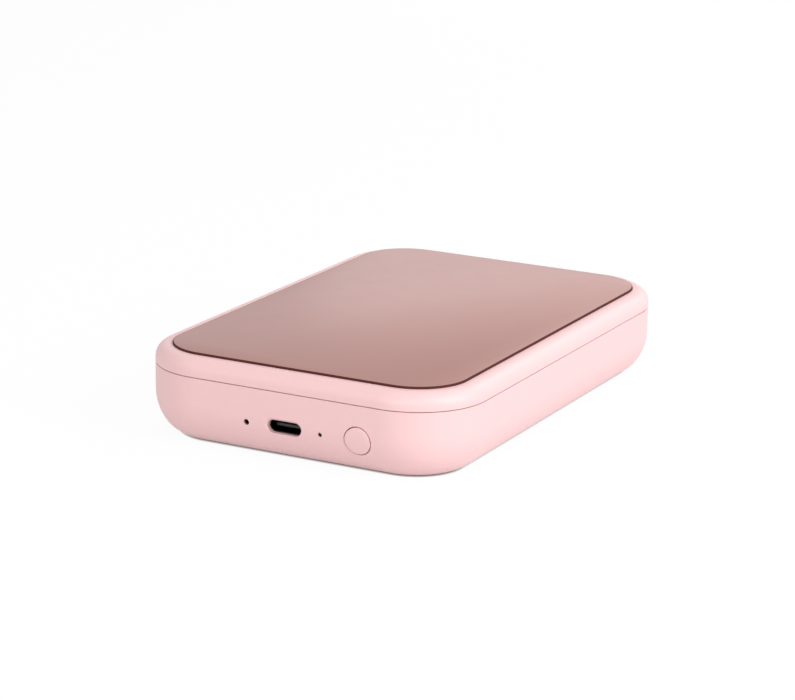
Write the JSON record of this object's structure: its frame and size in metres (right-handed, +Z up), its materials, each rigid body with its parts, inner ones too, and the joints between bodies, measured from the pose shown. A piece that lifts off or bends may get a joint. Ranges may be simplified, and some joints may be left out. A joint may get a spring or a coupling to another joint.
{
  "type": "pocket photo printer",
  "caption": "Pocket photo printer for small sticker sheets, with a hinged cover over the paper bay, a charging port, a power button and a reset hole on the front.",
  "frame": {"origin": "centre of the footprint, on the surface that the printer rests on", "axes": "+Z up; the front with the charging port and power button faces -Y; prints leave at the rear, towards +Y; X across"},
  "size_m": [0.0822, 0.1212, 0.0211],
  "materials": {
    "pink_abs": "fine satin texture",
    "rose_gold_panel": "satin, with a dark edge",
    "dark_adhesive": "matt",
    "white_pom": "moulded",
    "black_plastic": "moulded",
    "steel": "bright",
    "aluminium": "extruded",
    "brass": "turned",
    "rubber": "ground",
    "felt": "felt",
    "circuit_board": "solder mask",
    "ceramic": "glazed",
    "battery_foil": "laminated foil",
    "clear_acrylic": "clear",
    "red_wire": "insulation",
    "blue_wire": "insulation",
    "polyimide": "film"
  },
  "bodies": {
    "base": {"base_shell": "pink_abs", "paper_tray": "white_pom", "engine_frame": "steel", "tray_screws": "steel", "frame_screws": "steel", "main_board": "circuit_board", "board_screws": "steel", "usb_shell": "steel", "usb_tongue": "black_plastic", "power_switch": "black_plastic", "reset_switch": "black_plastic", "status_led": "clear_acrylic", "light_pipe": "clear_acrylic", "processor_shield": "steel", "radio_module": "black_plastic", "battery_socket": "white_pom", "motor_socket": "white_pom", "flex_socket": "black_plastic", "battery_pack": "battery_foil", "battery_lead": "red_wire", "motor_case": "steel", "motor_screws": "steel", "motor_lead": "blue_wire", "roller_bushes": "brass", "gear_posts": "steel", "post_clips": "black_plastic", "exit_guide": "white_pom", "spring_bridge": "steel", "head_springs": "steel", "head_flex": "polyimide", "paper_sensor": "black_plastic", "separation_pad": "rubber", "base_magnets": "steel", "hinge_pins": "steel", "head_pivot_shaft": "steel"},
    "cover": {"top_cover": "pink_abs", "top_plate": "rose_gold_panel", "plate_adhesive": "dark_adhesive", "cover_magnets": "steel", "pressure_springs": "steel"},
    "pressure": {"pressure_plate": "steel", "pressure_felts": "felt"},
    "button": {"power_button": "pink_abs", "switch_plunger": "white_pom"},
    "reset": {"reset_plunger": "white_pom"},
    "head": {"print_head": "ceramic", "heat_sink": "aluminium"},
    "platen": {"platen_shaft": "steel", "platen_rubber": "rubber", "platen_gear": "white_pom"},
    "pick": {"pick_shaft": "steel", "pick_core": "white_pom", "pick_tyres": "rubber", "pick_gear": "white_pom"},
    "idler": {"idler_gear": "white_pom"},
    "compound": {"compound_gear": "white_pom"},
    "rotor": {"motor_shaft": "steel", "motor_pinion": "brass"}
  },
  "joints": [
    {"name": "cover_hinge", "type": "hinge", "parent": "base", "child": "cover", "pos_m": [0, 0.05905, 0.0165], "axis": [-1, 0, 0], "range_deg": [0, 70]},
    {"name": "pressure_tilt", "type": "hinge", "parent": "cover", "child": "pressure", "pos_m": [0, -0.0497, 0.0168], "axis": [1, 0, 0], "range_deg": [0, 1.9], "stiffness_Nm_per_rad": 0.26, "springref_deg": -4.58, "deforming": ["pressure_springs"]},
    {"name": "head_tilt", "type": "hinge", "parent": "base", "child": "head", "pos_m": [0, 0.047, 0.014], "axis": [-1, 0, 0], "range_deg": [0, 2], "stiffness_Nm_per_rad": 0.24, "springref_deg": -5.73, "deforming": ["head_springs"]},
    {"name": "button_press", "type": "slide", "parent": "base", "child": "button", "axis": [0, 1, 0], "range_m": [0, 0.00035], "stiffness_N_per_m": 1500, "springref_m": -0.0003},
    {"name": "reset_press", "type": "slide", "parent": "base", "child": "reset", "axis": [0, 1, 0], "range_m": [0, 0.00025], "stiffness_N_per_m": 1500, "springref_m": -0.0003},
    {"name": "platen_spin", "type": "hinge", "parent": "base", "child": "platen", "pos_m": [0, 0.036, 0.0074], "axis": [1, 0, 0], "continuous": true},
    {"name": "pick_spin", "type": "hinge", "parent": "base", "child": "pick", "pos_m": [0, 0.016, 0.0071], "axis": [1, 0, 0], "continuous": true},
    {"name": "idler_spin", "type": "hinge", "parent": "base", "child": "idler", "pos_m": [0, 0.02595, 0.01045], "axis": [1, 0, 0], "continuous": true},
    {"name": "compound_spin", "type": "hinge", "parent": "base", "child": "compound", "pos_m": [0, 0.0422, 0.01161], "axis": [1, 0, 0], "continuous": true},
    {"name": "motor_spin", "type": "hinge", "parent": "base", "child": "rotor", "pos_m": [0, 0.048, 0.0061], "axis": [1, 0, 0], "continuous": true}
  ],
  "couplings": [
    {"joint": "idler_spin", "follows": "platen_spin", "ratio": -0.75},
    {"joint": "pick_spin", "follows": "platen_spin", "ratio": 1},
    {"joint": "compound_spin", "follows": "platen_spin", "ratio": -1.5},
    {"joint": "motor_spin", "follows": "platen_spin", "ratio": 2.5}
  ]
}
